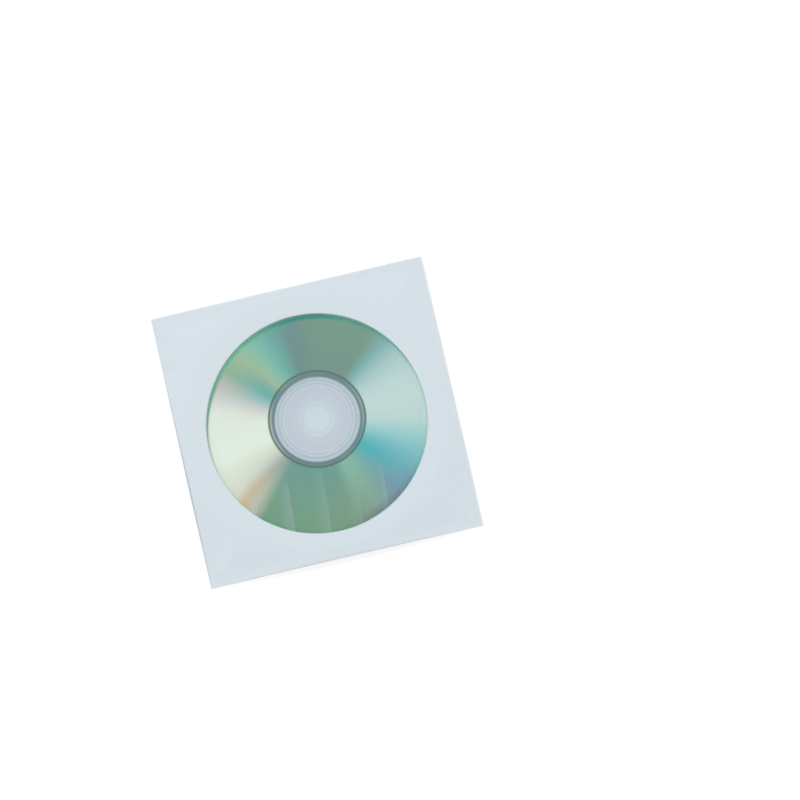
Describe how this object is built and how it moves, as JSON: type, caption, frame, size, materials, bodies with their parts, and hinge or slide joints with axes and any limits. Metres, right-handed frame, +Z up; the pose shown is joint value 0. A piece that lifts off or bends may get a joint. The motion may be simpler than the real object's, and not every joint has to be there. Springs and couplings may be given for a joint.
{
  "type": "cd sleeve",
  "caption": "Square white paper sleeve with a round clear window and a closing flap tucked in behind, holding one optical disc that shows through the window",
  "frame": {"origin": "middle of the sleeve's footprint, on the surface it lies on", "axes": "+X across the sleeve, +Y towards the edge with the closing flap, +Z up out of the window side"},
  "size_m": [0.125, 0.125, 0.0021],
  "materials": {
    "paper": "matt uncoated white paper",
    "film": "thin clear glossy film",
    "disc": "clear gloss over a reflective green-blue layer"
  },
  "bodies": {
    "root": {"paper_sleeve": "paper", "window_film": "film", "disc": "disc"}
  },
  "joints": []
}
